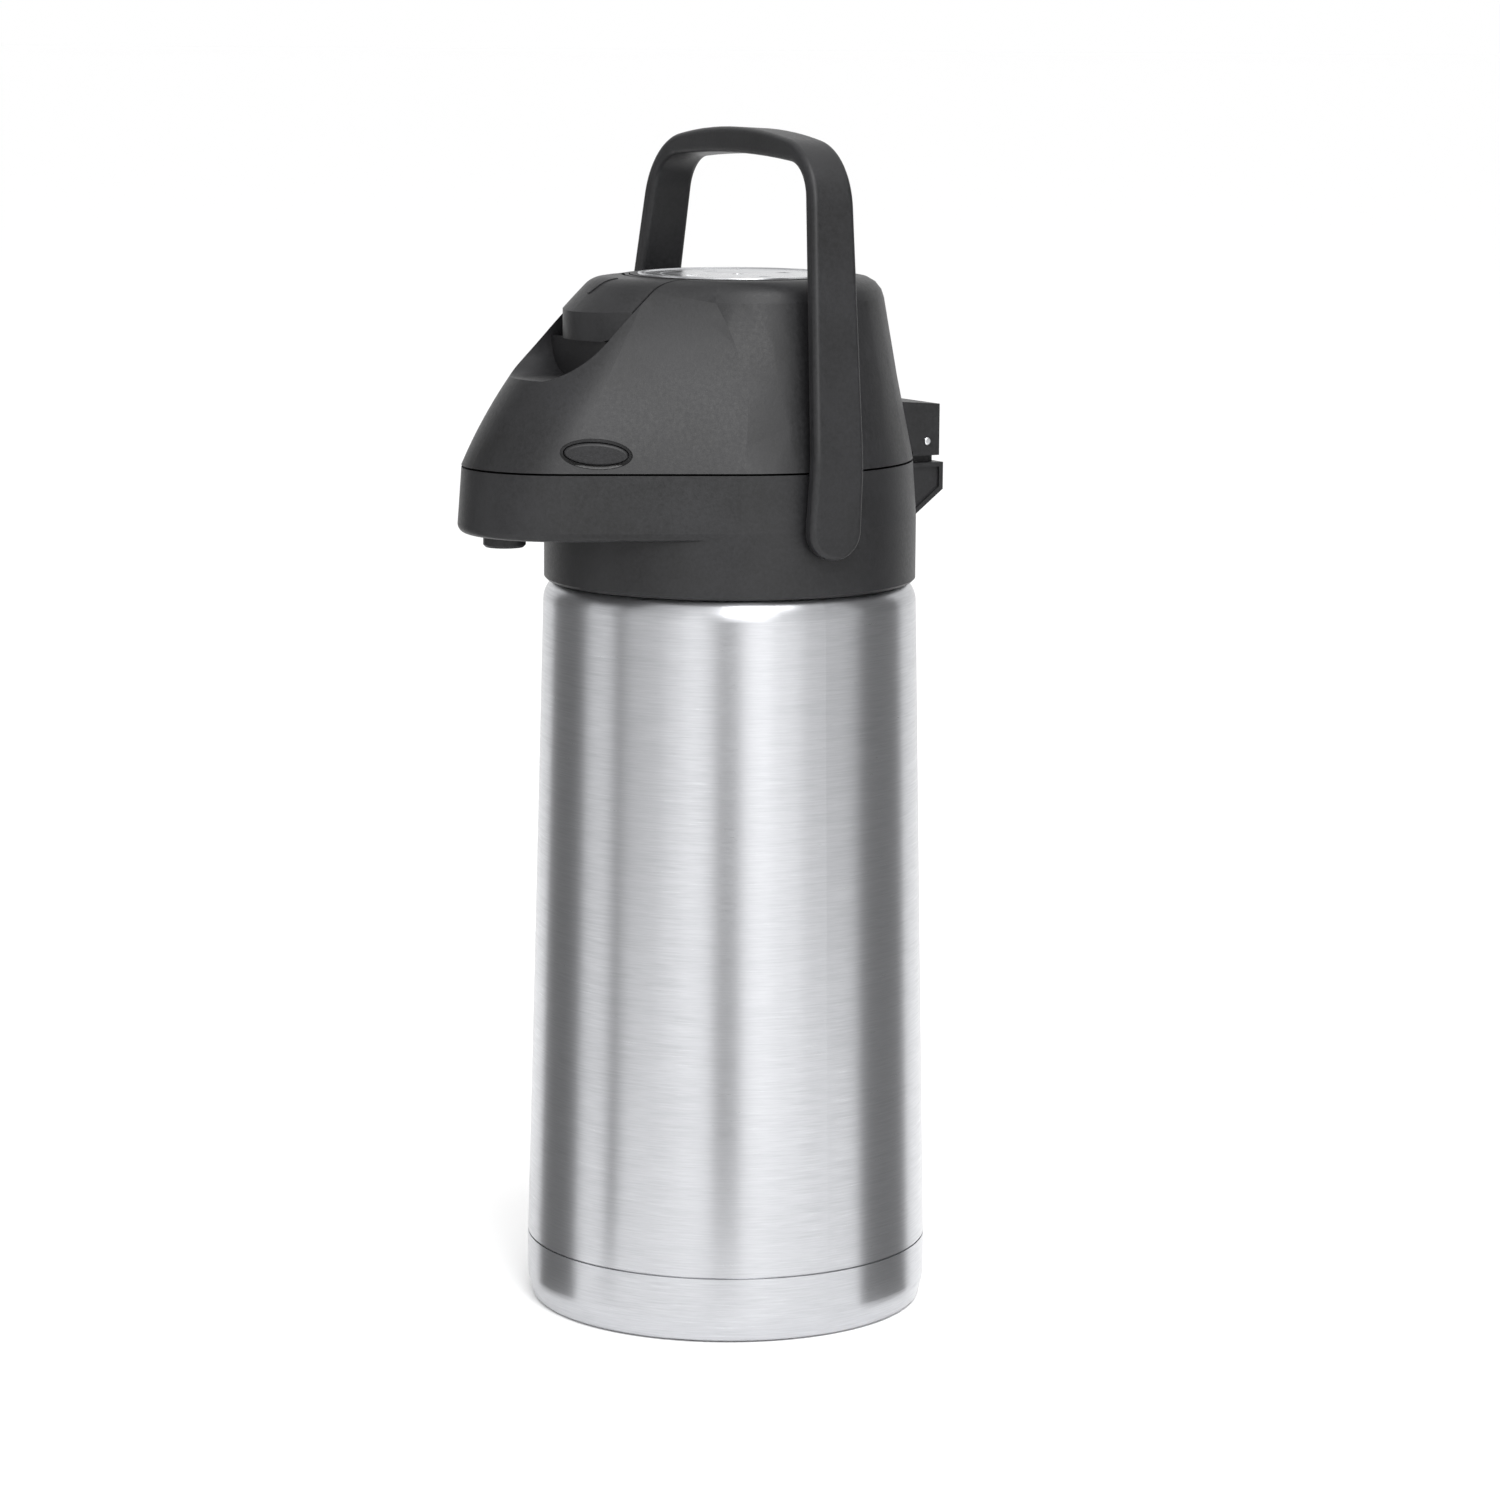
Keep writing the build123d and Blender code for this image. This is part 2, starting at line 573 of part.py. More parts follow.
# plate that closes the lid from below, with the air boss
plate = between_z(dome_form(plastic_wall + fit_free), plate_low_z, plate_top_z)
plate += disc(boss_r, boss_low_z, plate_low_z)
plate -= disc(boss_bore, boss_low_z - 1, plate_top_z + 1)
flap_z = boss_low_z + 4.0
plate += ring(boss_bore, boss_bore - flap_ledge, flap_z - 2, flap_z)
for side in (-1, 1):
    plate -= block((side * leg_x - leg_w / 2 - 1, leg_y - 12.5, plate_low_z - 1),
                   (side * leg_x + leg_w / 2 + 1, leg_y + 6, plate_top_z + 1))
for x, y in screw_places:
    plate -= disc(screw_head_r + 0.2, plate_low_z - 1, plate_low_z + screw_head_t, x, y)
    plate -= disc(small_pin_r, plate_low_z, plate_top_z + 1, x, y)
hinge_cut_x = hinge_half_w + 1
plate -= block((-hinge_cut_x, hinge_y - 12, plate_low_z - 1), (hinge_cut_x, hinge_y, plate_top_z + 1))
parts["lid_plate"] = plate
parts["lid_seal"] = ring(boss_r, boss_bore, boss_low_z - seal_h, boss_low_z)
screws = []
for x, y in screw_places:
    head = disc(screw_head_r, plate_low_z, plate_low_z + screw_head_t, x, y)
    shank = disc(small_pin_r, plate_low_z + screw_head_t, plate_top_z + screw_len, x, y)
    screws.append(head + shank)
parts["lid_screws"] = Compound(children=screws)

# bellows, its clamp ring and the return spring inside it
press_floor_z = lid_top_z - press_floor_drop
bellows_top_z = press_floor_z - fit_free - 0.1
clamp_z = plate_top_z + bellows_wall
fold_low_z = clamp_z + bellows_wall
fold_h = (bellows_top_z - fold_low_z) / bellows_folds
outer_line = [(bellows_root_r, fold_low_z)]
for fold in range(bellows_folds):
    outer_line.append((bellows_r, fold_low_z + (fold + 0.5) * fold_h))
    outer_line.append((bellows_root_r, fold_low_z + (fold + 1) * fold_h))
inner_line = [(r - bellows_wall, z) for r, z in reversed(outer_line)]
bellows = turned(*outer_line, *inner_line)
bellows += ring(bellows_root_r + bellows_foot, bellows_root_r - bellows_wall, plate_top_z, clamp_z)
bellows += ring(bellows_root_r, bellows_root_r - bellows_wall, plate_top_z, fold_low_z)
parts["bellows"] = bellows
clamp_bore = bellows_root_r + 0.2
parts["bellows_ring"] = ring(bellows_root_r + bellows_foot + 1, clamp_bore, clamp_z, clamp_z + clamp_t)
parts["return_spring"] = ring(spring_r, spring_r - spring_wire, plate_top_z, bellows_top_z)
parts["outlet_flap"] = disc(boss_bore - 1.0, flap_z, flap_z + flap_t)

# press cap, bright plate and the air inlet flap below it
press_top_z = lid_top_z + 0.2
cap = ring(press_r, press_r - press_wall, press_top_z - press_skirt_h, press_top_z, 0, press_y)
cap += disc(press_r, press_floor_z, press_top_z, 0, press_y)
cap -= disc(press_plate_r, press_top_z - press_plate_t, press_top_z + 1, 0, press_y)
cap -= disc(press_hole_r, press_floor_z - 1, press_top_z + 1, 0, press_y)
parts["press_cap"] = cap
plate_edge_r = press_plate_r - fit_sheet
press_plate = disc(plate_edge_r, press_top_z - press_plate_t, press_top_z + press_proud, 0, press_y)
press_plate = chamfer(press_plate.edges().group_by(Axis.Z)[-1], press_proud)
parts["press_plate"] = press_plate - disc(press_hole_r, press_floor_z, press_top_z + 1, 0, press_y)
inlet_flap_r = 3 * press_hole_r
parts["inlet_flap"] = disc(inlet_flap_r, press_floor_z - 1.0, press_floor_z, 0, press_y)

# latch tab with its two legs and teeth
tab_end_y = press_y - tab_w / 2
tab_shape = [(tip_y, tab_under_z), (well_back_y, tab_under_z), (tab_rear_y, tab_rear_under_z),
             (tab_end_y, tab_rear_under_z), (tab_end_y, lid_top_z + 1), (tip_y, lid_top_z + 1)]
tab = dome_out & slab_x(tab_shape, tab_w / 2)
tab -= disc(tab_rear_r, 0, lid_top_z + 2, 0, press_y)
nose_cut = block((-60, -140, 0), (60, tab_front_y + tab_nose_r, 500))
tab -= nose_cut - disc(tab_nose_r, 0, 500, 0, tab_front_y + tab_nose_r)
for side in (-1, 1):
    leg_mid = side * leg_x
    tab += block((leg_mid - leg_w / 2, leg_y - leg_t / 2, leg_bottom_z),
                 (leg_mid + leg_w / 2, leg_y + leg_t / 2, tab_under_z + 9))
    tab += block((leg_mid - leg_w / 2, leg_y, leg_bottom_z),
                 (leg_mid + leg_w / 2, keeper_y - keeper_tooth - tooth_gap, leg_bottom_z + 2.5))
tab -= rod_x(small_pin_r + fit_running, -tab_w, tab_w, tab_pin_y, tab_pin_z)
parts["latch_tab"] = tab
parts["latch_pin"] = rod_x(small_pin_r, -latch_pin_end, latch_pin_end, tab_pin_y, tab_pin_z)

for side, name in ((-1, "button_left"), (1, "button_right")):
    length = button_len - 2 * (button_rim + button_gap)
    height = button_h - 2 * (button_rim + button_gap)
    button = oval_x(length, height, flank_x - button_depth, flank_x + button_proud)
    button = fillet(button.edges().group_by(Axis.X)[-1], button_edge_round)
    parts[name] = on_flank(side, button)

# ---------------------------------------------------------------- bail handle
arm_outer_x = arm_inner_x + arm_t
bush_start = arm_inner_x - 0.1
bush_end = arm_outer_x - arm_skin - 0.2
stud_end = bush_end - 0.2
for side, name in ((-1, "left"), (1, "right")):
    stud = rod_x(stud_r, side * stud_seat_x, side * stud_end, 0, pivot_z)
    flange_start = side * (stud_seat_x - stud_flange_t)
    stud += rod_x(stud_r + stud_flange, flange_start, side * stud_seat_x, 0, pivot_z)
    parts["handle_stud_" + name] = stud
    bush = rod_x(bush_r, side * bush_start, side * bush_end, 0, pivot_z)
    bush -= rod_x(stud_r + fit_running, side * stud_seat_x, side * (bush_end + 1), 0, pivot_z)
    parts["handle_bush_" + name] = bush

low_z = pivot_z - arm_end_r - 1
outer_side = [(arm_outer_x, low_z), (arm_outer_x, arm_knee_z), (bail_outer_top_x, bail_outer_top_z)]
inner_side = [(bail_inner_top_x, bail_inner_top_z), (arm_inner_x, arm_knee_z), (arm_inner_x, low_z)]
mirrored_outer = [(-x, z) for x, z in reversed(outer_side)]
mirrored_inner = [(-x, z) for x, z in reversed(inner_side)]
right_up = Polyline(*outer_side)
top_arch = ThreePointArc(outer_side[-1], (0, bail_outer_top_z + bail_top_arch), mirrored_outer[0])
left_down = Polyline(*mirrored_outer)
left_foot = Line(mirrored_outer[-1], mirrored_inner[0])
left_up = Polyline(*mirrored_inner)
under_arch = ThreePointArc(mirrored_inner[-1], (0, bail_inner_top_z + bail_arch), inner_side[0])
right_down = Polyline(*inner_side)
right_foot = Line(inner_side[-1], outer_side[0])
front = make_face([right_up, top_arch, left_down, left_foot, left_up, under_arch, right_down, right_foot])
outer_corners = front.vertices().filter_by(lambda v: abs(v.Y - bail_outer_top_z) < 0.01)
front = fillet(outer_corners, bail_outer_round)
inner_corners = front.vertices().filter_by(lambda v: abs(v.Y - bail_inner_top_z) < 0.01)
front = fillet(inner_corners, bail_inner_round)
knees = front.vertices().filter_by(lambda v: abs(v.Y - arm_knee_z) < 0.01)
front = fillet(knees, arm_knee_round)
bail = extrude(Plane.XZ * front, arm_end_r + 1, both=True)
side_top_z = bail_outer_top_z + 12.0
side_lean = math.asin((arm_end_r - arm_w / 2) / (side_top_z - pivot_z))
side_y = arm_end_r * math.cos(side_lean)
side_z = pivot_z + arm_end_r * math.sin(side_lean)
side_line = Polyline((0, side_y, side_z), (0, arm_w / 2, side_top_z), (0, -arm_w / 2, side_top_z),
                     (0, -side_y, side_z))
side_end = ThreePointArc((0, -side_y, side_z), (0, 0, pivot_z - arm_end_r), (0, side_y, side_z))
bail = bail & extrude(make_face([side_line, side_end]), arm_outer_x + 5, dir=(1, 0, 0), both=True)
rounded = bail.edges().filter_by(lambda e: abs(e.center().Y) > 1 or e.geom_type == GeomType.CIRCLE)
bail = fillet(rounded, bail_edge_round)
for side in (-1, 1):
    bail -= rod_x(bush_r + fit_running, side * (arm_inner_x - 3), side * (bush_end + 0.2), 0, pivot_z)
bail = Pos(0, 0, pivot_z) * Rot(-bail_lean, 0, 0) * Pos(0, 0, -pivot_z) * bail
parts["bail_handle"] = bail

os.makedirs("parts", exist_ok=True)
for name, solid in parts.items():
    export_step(solid, "parts/" + name + ".step")
    print(name)
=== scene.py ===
import json
import math

import bpy
from mathutils import Matrix, Vector


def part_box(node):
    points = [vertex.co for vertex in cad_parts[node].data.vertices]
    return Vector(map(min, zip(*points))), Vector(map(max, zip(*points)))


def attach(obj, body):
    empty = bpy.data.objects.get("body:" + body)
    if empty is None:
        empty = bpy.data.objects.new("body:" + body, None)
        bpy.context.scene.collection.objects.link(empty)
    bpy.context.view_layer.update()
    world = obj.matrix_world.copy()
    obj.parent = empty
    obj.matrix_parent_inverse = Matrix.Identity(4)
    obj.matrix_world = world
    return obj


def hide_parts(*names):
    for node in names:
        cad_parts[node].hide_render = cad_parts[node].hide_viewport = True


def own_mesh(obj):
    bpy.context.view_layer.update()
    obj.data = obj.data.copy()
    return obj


# The airpot's looks: materials for the CAD nodes, the small pieces that CAD leaves plain, stage, lights, camera.
# Everything is in metres, +Z up, the spout points to -Y and the lid's hinge is at +Y.

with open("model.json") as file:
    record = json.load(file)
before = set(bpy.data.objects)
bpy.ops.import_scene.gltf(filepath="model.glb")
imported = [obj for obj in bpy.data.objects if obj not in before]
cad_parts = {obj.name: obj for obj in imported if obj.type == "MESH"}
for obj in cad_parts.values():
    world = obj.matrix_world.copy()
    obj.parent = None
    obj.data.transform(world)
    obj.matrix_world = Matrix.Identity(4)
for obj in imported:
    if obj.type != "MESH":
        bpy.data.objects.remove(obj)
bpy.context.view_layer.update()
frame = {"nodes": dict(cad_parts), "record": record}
nodes = frame["nodes"]
print("frame loaded:", len(nodes), "nodes")


# ---- small helpers ----

def linearColour(hexText):
    # sRGB hex to the linear values that the shaders take
    values = [int(hexText[i:i + 2], 16) / 255 for i in (1, 3, 5)]
    return [v / 12.92 if v <= 0.04045 else ((v + 0.055) / 1.055) ** 2.4 for v in values] + [1.0]


def addNode(tree, kind, settings=None, inputs=None):
    # one node with its properties set, and its inputs given as values or as sockets to link from
    node = tree.nodes.new(kind)
    for name, value in (settings or {}).items():
        setattr(node, name, value)
    for name, value in (inputs or {}).items():
        if isinstance(value, bpy.types.NodeSocket):
            tree.links.new(value, node.inputs[name])
        else:
            node.inputs[name].default_value = value
    return node


def newMaterial(name):
    material = bpy.data.materials.new(name)
    material.use_nodes = True
    tree = material.node_tree
    shader = tree.nodes["Principled BSDF"]
    place = addNode(tree, "ShaderNodeTexCoord")
    return material, tree, shader, place.outputs["Object"]


def stretched(tree, place, scale):
    return addNode(tree, "ShaderNodeMapping", {}, {"Vector": place, "Scale": scale}).outputs["Vector"]


def featureScale(sizeMm):
    # noise scale whose features are about this size
    return 1000.0 / sizeMm


# ---- materials ----

charcoal = {
    "deep": "#131314", "light": "#202022",
    "cloudMm": 28, "grainMm": 1.3,      # the real spark-eroded grain is about 0.3 mm, too fine to show
    "grainDepth": 0.00007, "roughLow": 0.40, "roughHigh": 0.52, "specular": 0.32,
}


def makeMouldedAbs(name, look):
    # ABS moulded in a spark-eroded tool: a dark satin with fine even grain and a soft sheen
    material, tree, shader, place = newMaterial(name)
    cloud = addNode(tree, "ShaderNodeTexNoise", {}, {
        "Vector": place, "Scale": featureScale(look["cloudMm"]), "Detail": 3.0, "Roughness": 0.55})
    grain = addNode(tree, "ShaderNodeTexNoise", {}, {
        "Vector": place, "Scale": featureScale(look["grainMm"]), "Detail": 4.0, "Roughness": 0.7})
    both = addNode(tree, "ShaderNodeMath", {"operation": "MULTIPLY_ADD"}, {
        0: grain.outputs["Fac"], 1: 0.55, 2: 0.0})
    tree.links.new(addNode(tree, "ShaderNodeMath", {"operation": "MULTIPLY"}, {
        0: cloud.outputs["Fac"], 1: 0.45}).outputs[0], both.inputs[2])
    ramp = addNode(tree, "ShaderNodeMapRange", {}, {
        "Value": both.outputs[0], "From Min": 0.36, "From Max": 0.64})
    colour = addNode(tree, "ShaderNodeMix", {"data_type": "RGBA"}, {
        "Factor": ramp.outputs["Result"], 6: linearColour(look["deep"]), 7: linearColour(look["light"])})
    rough = addNode(tree, "ShaderNodeMapRange", {}, {
        "Value": grain.outputs["Fac"], "From Min": 0.3, "From Max": 0.7,
        "To Min": look["roughLow"], "To Max": look["roughHigh"]})
    bump = addNode(tree, "ShaderNodeBump", {}, {
        "Height": grain.outputs["Fac"], "Strength": 0.55, "Distance": look["grainDepth"]})
    tree.links.new(colour.outputs[2], shader.inputs["Base Color"])
    tree.links.new(rough.outputs["Result"], shader.inputs["Roughness"])
    tree.links.new(bump.outputs["Normal"], shader.inputs["Normal"])
    shader.inputs["IOR"].default_value = 1.53
    shader.inputs["Specular IOR Level"].default_value = look.get("specular", 0.5)
    return material


bodySteel = {
    "dull": "#aeafb2", "bright": "#bfc0c3",
    "lineMm": 0.45,                     # the real belt marks are about 0.05 mm apart, drawn coarser to show
    "bandMm": 5.0, "arcMm": 14.0,
    "roughLow": 0.27, "roughHigh": 0.36, "lineDepth": 0.000008, "stretch": 0.68,
}


def makeBrushedSteel(name, look):
    # 18/8 stainless brushed round the body on a belt: fine level lines, light drawn out up and down
    material, tree, shader, place = newMaterial(name)
    arc = featureScale(look["arcMm"])
    lines = addNode(tree, "ShaderNodeTexNoise", {}, {
        "Vector": stretched(tree, place, (arc, arc, featureScale(look["lineMm"]))),
        "Scale": 1.0, "Detail": 5.0, "Roughness": 0.72})
    bands = addNode(tree, "ShaderNodeTexNoise", {}, {
        "Vector": stretched(tree, place, (arc / 3, arc / 3, featureScale(look["bandMm"]))),
        "Scale": 1.0, "Detail": 2.0, "Roughness": 0.5})
    mixed = addNode(tree, "ShaderNodeMath", {"operation": "MULTIPLY_ADD"}, {
        0: bands.outputs["Fac"], 1: 0.14,
        2: addNode(tree, "ShaderNodeMath", {"operation": "MULTIPLY"}, {
            0: lines.outputs["Fac"], 1: 0.86}).outputs[0]})
    spread = addNode(tree, "ShaderNodeMapRange", {}, {
        "Value": mixed.outputs[0], "From Min": 0.33, "From Max": 0.67})
    colour = addNode(tree, "ShaderNodeMix", {"data_type": "RGBA"}, {
        "Factor": spread.outputs["Result"], 6: linearColour(look["dull"]), 7: linearColour(look["bright"])})
    rough = addNode(tree, "ShaderNodeMapRange", {}, {
        "Value": lines.outputs["Fac"], "From Min": 0.3, "From Max": 0.7,
        "To Min": look["roughHigh"], "To Max": look["roughLow"]})
    bump = addNode(tree, "ShaderNodeBump", {}, {
        "Height": lines.outputs["Fac"], "Strength": 0.5, "Distance": look["lineDepth"]})
    around = addNode(tree, "ShaderNodeTangent", {"direction_type": "RADIAL", "axis": "Z"})
    tree.links.new(colour.outputs[2], shader.inputs["Base Color"])
    tree.links.new(rough.outputs["Result"], shader.inputs["Roughness"])
    tree.links.new(bump.outputs["Normal"], shader.inputs["Normal"])
    tree.links.new(around.outputs["Tangent"], shader.inputs["Tangent"])
    shader.inputs["Metallic"].default_value = 1.0
    shader.inputs["Anisotropic"].default_value = look["stretch"]
    shader.inputs["Anisotropic Rotation"].default_value = 0.25      # across the lines
    return material


spunSteel = {"dull": "#a9aaad", "bright": "#cfd0d3", "ringMm": 1.6, "rough": 0.22, "ringDepth": 0.00001}
brightSteel = {"dull": "#bdbec0", "bright": "#e2e3e5", "ringMm": 0.8, "rough": 0.16, "ringDepth": 0.000006}
satinAluminium = {"dull": "#b9babd", "bright": "#d6d7d9", "ringMm": 0.9, "rough": 0.27, "ringDepth": 0.00001}


def makePlainMetal(name, look):
    # turned or drawn metal: soft marks of the tool, no belt lines
    material, tree, shader, place = newMaterial(name)
    marks = addNode(tree, "ShaderNodeTexNoise", {}, {
        "Vector": place, "Scale": featureScale(look["ringMm"]), "Detail": 4.0, "Roughness": 0.6})
    smear = addNode(tree, "ShaderNodeTexNoise", {}, {
        "Vector": place, "Scale": featureScale(look["ringMm"] * 14), "Detail": 2.0})
    colour = addNode(tree, "ShaderNodeMix", {"data_type": "RGBA"}, {
        "Factor": marks.outputs["Fac"], 6: linearColour(look["dull"]), 7: linearColour(look["bright"])})
    rough = addNode(tree, "ShaderNodeMapRange", {}, {
        "Value": smear.outputs["Fac"], "From Min": 0.3, "From Max": 0.7,
        "To Min": look["rough"] * 0.8, "To Max": look["rough"] * 1.25})
    bump = addNode(tree, "ShaderNodeBump", {}, {
        "Height": marks.outputs["Fac"], "Strength": 0.35, "Distance": look["ringDepth"]})
    tree.links.new(colour.outputs[2], shader.inputs["Base Color"])
    tree.links.new(rough.outputs["Result"], shader.inputs["Roughness"])
    tree.links.new(bump.outputs["Normal"], shader.inputs["Normal"])
    shader.inputs["Metallic"].default_value = 1.0
    return material


innerBlack = {
    "deep": "#1d1d1e", "light": "#29292a", "cloudMm": 22, "grainMm": 1.0,
    "grainDepth": 0.00003, "roughLow": 0.30, "roughHigh": 0.42,
}
bushNylon = {
    "deep": "#cfcbc0", "light": "#dedbd1", "cloudMm": 9, "grainMm": 0.9,
    "grainDepth": 0.00002, "roughLow": 0.36, "roughHigh": 0.46,
}
sealSilicone = {
    "deep": "#b9b7b0", "light": "#cac8c1", "cloudMm": 12, "grainMm": 1.4,
    "grainDepth": 0.00003, "roughLow": 0.55, "roughHigh": 0.68,
}


def makeMouldedSilicone(name, look):
    # translucent food silicone: milky, waxy sheen, a little light inside
    material = makeMouldedAbs(name, look)
    shader = material.node_tree.nodes["Principled BSDF"]
    shader.inputs["IOR"].default_value = 1.41
    shader.inputs["Subsurface Weight"].default_value = 0.25
    shader.inputs["Subsurface Scale"].default_value = 0.002
    return material


materials = {
    "charcoal_plastic": makeMouldedAbs("charcoalMouldedAbs", charcoal),
    "brushed_body_steel": makeBrushedSteel("beltBrushedStainless", bodySteel),
    "vessel_steel": makePlainMetal("spunStainless", spunSteel),
    "inner_plastic": makeMouldedAbs("blackMouldedPolypropylene", innerBlack),
    "seal_rubber": makeMouldedSilicone("mouldedSilicone", sealSilicone),
    "pin_steel": makePlainMetal("brightDrawnSteel", brightSteel),
    "bush_nylon": makeMouldedAbs("naturalMouldedNylon", bushNylon),
    "press_plate_metal": makePlainMetal("satinStampedAluminium", satinAluminium),
}
slotOfNode = {s["node"]: s["material_slot"] for s in frame["record"]["subparts"]}
for nodeName, slotName in slotOfNode.items():
    mesh = nodes[nodeName].data
    mesh.materials.clear()
    mesh.materials.append(materials[slotName])
print("materials made:", len(materials))


# ---- pieces that CAD leaves plain ----

def deselectAll():
    bpy.ops.object.select_all(action="DESELECT")


def editAll():
    bpy.ops.object.mode_set(mode="EDIT")
    bpy.ops.mesh.select_all(action="SELECT")


def pickFaces(piece, wanted):
    # back in edit mode with only the faces that the test accepts
    bpy.ops.object.mode_set(mode="EDIT")
    bpy.ops.mesh.select_mode(type="FACE")
    bpy.ops.mesh.select_all(action="DESELECT")
    bpy.ops.object.mode_set(mode="OBJECT")
    for face in piece.data.polygons:
        face.select = wanted(face)
    bpy.ops.object.mode_set(mode="EDIT")


def applyModifier(piece, kind, settings):
    modifier = piece.modifiers.new(kind.title(), kind)
    for name, value in settings.items():
        setattr(modifier, name, value)
    bpy.ops.object.modifier_apply(modifier=modifier.name)


def useOnly(piece):
    deselectAll()
    piece.select_set(True)
    bpy.context.view_layer.objects.active = piece


def finishPiece(piece, name, body, slotName, replaced=(), smoothAngle=35):
    useOnly(piece)
    editAll()
    bpy.ops.mesh.remove_doubles(threshold=0.000002)
    bpy.ops.mesh.select_all(action="SELECT")
    bpy.ops.mesh.normals_make_consistent(inside=False)
    bpy.ops.object.mode_set(mode="OBJECT")
    bpy.ops.object.transform_apply(location=True, rotation=True, scale=True)
    bpy.ops.object.shade_smooth_by_angle(angle=math.radians(smoothAngle))
    piece.name = name
    piece.data.name = name
    piece.data.materials.clear()
    piece.data.materials.append(materials[slotName])
    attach(piece, body)
    if replaced:
        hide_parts(*replaced)
    print("piece made:", name)
    return piece


pressPlate = {
    "rimWidth": 0.0016, "rimDrop": 0.00045, "edgeBevel": 0.00035, "grooveAt": 0.0075, "grooveWidth": 0.0006,
    "grooveDepth": 0.00025, "hole": 0.002, "arrowAt": 0.018, "arrowSize": 0.0034, "arrowDepth": 0.00022,
}


def makePressPlate(size):
    # stamped disc: rolled bright rim, sunk field with one ring groove, four small pressed arrowheads
    low, high = (Vector(corner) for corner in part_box("press_plate"))
    middle = (low + high) / 2
    radius = (high.x - low.x) / 2
    deselectAll()
    bpy.ops.mesh.primitive_cylinder_add(vertices=144, radius=radius, depth=high.z - low.z, location=middle)
    plate = bpy.context.object
    pickFaces(plate, lambda face: face.normal.z > 0.9)
    bpy.ops.mesh.inset(thickness=size["rimWidth"])
    bpy.ops.mesh.inset(thickness=size["rimDrop"])
    bpy.ops.transform.translate(value=(0, 0, -size["rimDrop"]))
    bpy.ops.mesh.inset(thickness=size["grooveAt"] - size["rimWidth"] - size["rimDrop"])
    bpy.ops.mesh.inset(thickness=size["grooveWidth"] / 2)
    bpy.ops.transform.translate(value=(0, 0, -size["grooveDepth"]))
    bpy.ops.mesh.inset(thickness=size["grooveWidth"] / 2)
    bpy.ops.transform.translate(value=(0, 0, size["grooveDepth"]))
    bpy.ops.mesh.inset(thickness=radius - size["grooveAt"] - size["grooveWidth"] - size["hole"])
    pickFaces(plate, lambda face: face.normal.z < -0.9)
    bpy.ops.mesh.inset(thickness=radius - size["hole"])
    pickFaces(plate, lambda face: abs(face.normal.z) > 0.9 and len(face.vertices) > 8)
    bpy.ops.mesh.bridge_edge_loops()
    bpy.ops.object.mode_set(mode="OBJECT")
    for quarter in range(4):
        turn = math.radians(90 * quarter)
        spot = middle + Vector((math.sin(turn), math.cos(turn), 0)) * size["arrowAt"]
        spot.z = high.z - size["rimDrop"]
        deselectAll()
        bpy.ops.mesh.primitive_cylinder_add(
            vertices=3, radius=size["arrowSize"], depth=2 * size["arrowDepth"], location=spot,
            rotation=(0, 0, math.pi - turn))
        cutter = bpy.context.object
        useOnly(plate)
        applyModifier(plate, "BOOLEAN", {"operation": "DIFFERENCE", "solver": "EXACT", "object": cutter})
        bpy.data.objects.remove(cutter)
    applyModifier(plate, "BEVEL", {
        "width": size["edgeBevel"], "segments": 2, "limit_method": "ANGLE", "angle_limit": math.radians(60)})
    return finishPiece(plate, "pressPlate", "press", "press_plate_metal", ["press_plate"])


tabMark = {"long": 0.0085, "wide": 0.0105, "ahead": 0.0105, "thick": 0.0003, "cuts": 12, "bevel": 0.00012}


def makeTabMark(size):
    # small raised arrowhead on the tab's face, pointing at the edge that the finger lifts
    low, high = (Vector(corner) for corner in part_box("latch_tab"))
    deselectAll()
    bpy.ops.mesh.primitive_plane_add(size=1, location=(0, low.y + size["ahead"], high.z + 0.004))
    mark = bpy.context.object
    mark.scale = (size["wide"], size["long"], 1)
    bpy.ops.object.transform_apply(location=True, rotation=True, scale=True)
    middleY = low.y + size["ahead"]
    editAll()
    bpy.ops.mesh.select_mode(type="VERT")
    bpy.ops.mesh.select_all(action="DESELECT")
    bpy.ops.object.mode_set(mode="OBJECT")
    for vertex in mark.data.vertices:
        vertex.select = vertex.co.y < middleY
    bpy.ops.object.mode_set(mode="EDIT")
    bpy.ops.transform.resize(value=(0.12, 1, 1), center_override=(0, middleY - size["long"] / 2, high.z))
    bpy.ops.mesh.select_all(action="SELECT")
    bpy.ops.mesh.subdivide(number_cuts=size["cuts"])
    bpy.ops.object.mode_set(mode="OBJECT")
    applyModifier(mark, "SHRINKWRAP", {
        "target": nodes["latch_tab"], "wrap_method": "PROJECT", "use_project_z": True,
        "use_negative_direction": True, "use_positive_direction": False, "offset": -0.0001})
    applyModifier(mark, "SOLIDIFY", {"thickness": size["thick"] + 0.0001, "offset": 1.0})
    return finishPiece(mark, "tabMark", "latch", "charcoal_plastic")


bellowsShape = {"folds": 6, "rootRatio": 0.855, "foot": 0.0024, "wall": 0.0009, "around": 96, "soften": 2}


